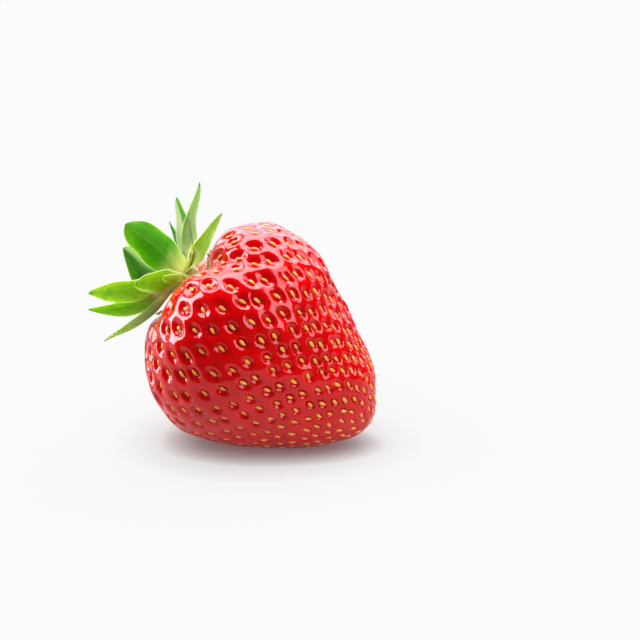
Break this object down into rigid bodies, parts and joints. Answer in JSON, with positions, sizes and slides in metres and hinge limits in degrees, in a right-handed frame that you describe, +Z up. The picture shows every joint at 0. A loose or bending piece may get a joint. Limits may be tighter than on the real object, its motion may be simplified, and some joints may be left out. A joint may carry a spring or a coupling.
{
  "type": "strawberry",
  "caption": "Ripe strawberry lying on its side: cone-shaped red fruit with pitted seeds, a leafy green calyx and a cut stem stub.",
  "frame": {"origin": "on the resting face, straight below the middle of the fruit", "axes": "+Z up from the surface that the fruit rests on; +X level, from the calyx towards the tip; +Y towards the back"},
  "size_m": [0.0514, 0.0403, 0.0463],
  "materials": {
    "berry_flesh": "glossy moist red fruit skin with yellow seeds in shallow pits",
    "calyx_green": "satin green leaf with pale veins and margins",
    "stamen": "dry, pale straw-coloured withered stamens",
    "stem_green": "matt pale green stem with a cut end"
  },
  "bodies": {
    "root": {"berry": "berry_flesh", "calyx": "calyx_green", "stamen_ring": "stamen", "stem_stub": "stem_green"}
  },
  "joints": []
}
